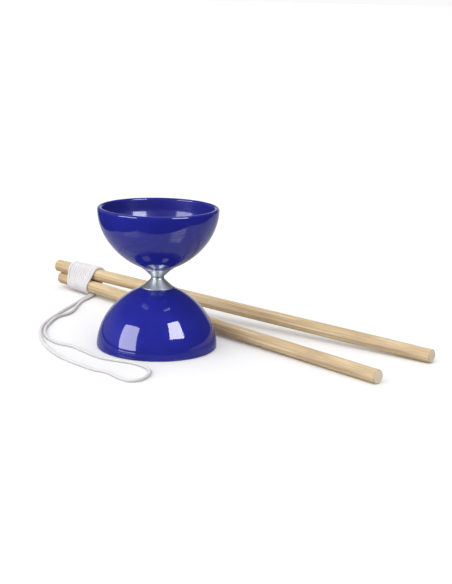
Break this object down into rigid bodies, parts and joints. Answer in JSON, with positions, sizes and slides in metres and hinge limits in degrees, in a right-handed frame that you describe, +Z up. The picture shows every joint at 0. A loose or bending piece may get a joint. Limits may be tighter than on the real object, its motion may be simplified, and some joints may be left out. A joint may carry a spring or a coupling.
{
  "type": "diabolo",
  "caption": "Double-cup spool on a clamped metal axle, standing on one rim, with wooden handsticks lashed together by their string, whose slack lies in a long loop.",
  "frame": {"origin": "centre of the spool's lower rim, on the surface that the set stands on", "axes": "+Z up the spool's axle, +X to the right and +Y away from the side where the string's loop ends"},
  "size_m": [0.3587, 0.3336, 0.123],
  "materials": {
    "cup_plastic": "glossy moulded plastic, deep blue",
    "turned_aluminium": "turned, with fine rings",
    "zinc_steel": "zinc plated",
    "nylon": "natural nylon",
    "dowel_wood": "sanded, unvarnished pale wood",
    "cotton_string": "soft white braid"
  },
  "bodies": {
    "handsticks": {"lower_handstick": "dowel_wood", "string_winding": "cotton_string", "string_loop": "cotton_string"},
    "upper_stick": {"upper_handstick": "dowel_wood"},
    "spool": {"upper_cup": "cup_plastic", "lower_cup": "cup_plastic", "upper_cone": "turned_aluminium", "lower_cone": "turned_aluminium", "groove_sleeve": "turned_aluminium", "axle_rod": "zinc_steel", "upper_clamp_washer": "zinc_steel", "lower_clamp_washer": "zinc_steel", "upper_spring_washer": "zinc_steel", "lower_spring_washer": "zinc_steel", "upper_lock_nut": "zinc_steel", "lower_lock_nut": "zinc_steel", "upper_nut_insert": "nylon", "lower_nut_insert": "nylon"}
  },
  "joints": [
    {"name": "stick_spread", "type": "hinge", "parent": "handsticks", "child": "upper_stick", "pos_m": [-0.0837, 0.1947, 0.0208], "axis": [0, 0, 1], "range_deg": [-7.5, 6], "deforming": ["string_winding"]},
    {"name": "spool_spin", "type": "hinge", "parent": "handsticks", "child": "spool", "pos_m": [0, 0, 0.0615], "axis": [0, 0, 1], "continuous": true}
  ]
}
